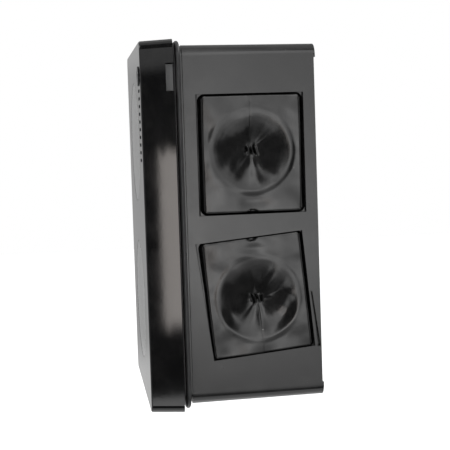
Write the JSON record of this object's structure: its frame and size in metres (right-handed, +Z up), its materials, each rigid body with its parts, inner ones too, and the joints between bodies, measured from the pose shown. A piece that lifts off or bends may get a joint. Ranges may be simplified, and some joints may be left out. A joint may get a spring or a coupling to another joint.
{
  "type": "pedestrian traffic light",
  "caption": "Compact black pedestrian signal head: deep wall-mounted box with a hinged glossy door, round signal windows, a bead seal and square dished cable pads in one side wall.",
  "frame": {"origin": "centre of the four wall bolt holes, in the plane of the rear feet", "axes": "+Z up, -Y out of the signal face, +Y into the wall, +X towards the side with the cable pads"},
  "size_m": [0.1678, 0.1298, 0.2712],
  "materials": {
    "housing_plastic": "satin moulded plastic",
    "door_plastic": "polished moulded plastic",
    "seal_rubber": "smooth rubber",
    "pad_rubber": "satin moulded elastomer",
    "frame_plastic": "satin",
    "hinge_paint": "black powder coat",
    "pin_steel": "plain",
    "screw_steel": "zinc plated",
    "strike_paint": "satin grey-black",
    "chassis_aluminium": "rolled sheet",
    "tray_plastic": "off-white",
    "board_laminate": "green solder mask",
    "red_emitter": "tinted epoxy",
    "green_emitter": "tinted epoxy",
    "red_diffuser": "translucent",
    "green_diffuser": "translucent",
    "sounder_plastic": "moulded",
    "disc_brass": "plain",
    "rail_steel": "passivated",
    "module_plastic": "moulded",
    "terminal_plastic": "moulded polyamide",
    "earth_brass": "plain",
    "vent_plastic": "moulded",
    "red_lead": "insulation",
    "green_lead": "insulation",
    "grey_lead": "insulation",
    "black_lead": "insulation",
    "window_clear": "smoked clear plastic",
    "gasket_rubber": "foam",
    "mask_film": "printed film",
    "ring_plastic": "moulded",
    "lock_zinc": "black plated",
    "core_steel": "nickel plated"
  },
  "bodies": {
    "housing": {"rear_housing": "housing_plastic", "door_seal": "seal_rubber", "cable_pad_upper": "pad_rubber", "cable_pad_lower": "pad_rubber", "pad_frames": "frame_plastic", "hinge_leaf_upper": "hinge_paint", "hinge_leaf_lower": "hinge_paint", "hinge_pin_upper": "pin_steel", "hinge_pin_lower": "pin_steel", "leaf_screws": "screw_steel", "lock_strike": "strike_paint", "strike_screws": "screw_steel", "chassis_plate": "chassis_aluminium", "chassis_screws": "screw_steel", "light_tray_upper": "tray_plastic", "light_tray_lower": "tray_plastic", "led_board_upper": "board_laminate", "led_board_lower": "board_laminate", "leds_upper": "red_emitter", "leds_lower": "green_emitter", "diffuser_upper": "red_diffuser", "diffuser_lower": "green_diffuser", "sounder_case": "sounder_plastic", "sounder_disc": "disc_brass", "sounder_bracket": "chassis_aluminium", "din_rail": "rail_steel", "rail_screws": "screw_steel", "driver_module": "module_plastic", "terminal_block": "terminal_plastic", "terminal_screws": "screw_steel", "earth_stud": "earth_brass", "earth_nuts": "earth_brass", "vent_plug": "vent_plastic", "lead_upper": "red_lead", "lead_lower": "green_lead", "lead_supply": "grey_lead", "lead_sounder": "black_lead"},
    "door": {"front_door": "door_plastic", "window_upper": "window_clear", "window_lower": "window_clear", "window_gasket_upper": "gasket_rubber", "window_gasket_lower": "gasket_rubber", "symbol_mask_upper": "mask_film", "symbol_mask_lower": "mask_film", "clamp_ring_upper": "ring_plastic", "clamp_ring_lower": "ring_plastic", "clamp_screws": "screw_steel", "lock_barrel": "lock_zinc", "lock_nut": "screw_steel"},
    "lock": {"lock_core": "core_steel", "lock_cam": "screw_steel"}
  },
  "joints": [
    {"name": "door_hinge", "type": "hinge", "parent": "housing", "child": "door", "pos_m": [-0.0845, -0.1045, 0], "axis": [0, 0, -1], "range_deg": [0, 110]},
    {"name": "lock_turn", "type": "hinge", "parent": "door", "child": "lock", "pos_m": [0.06, -0.12, 0.11], "axis": [0, 1, 0], "range_deg": [0, 90]}
  ]
}
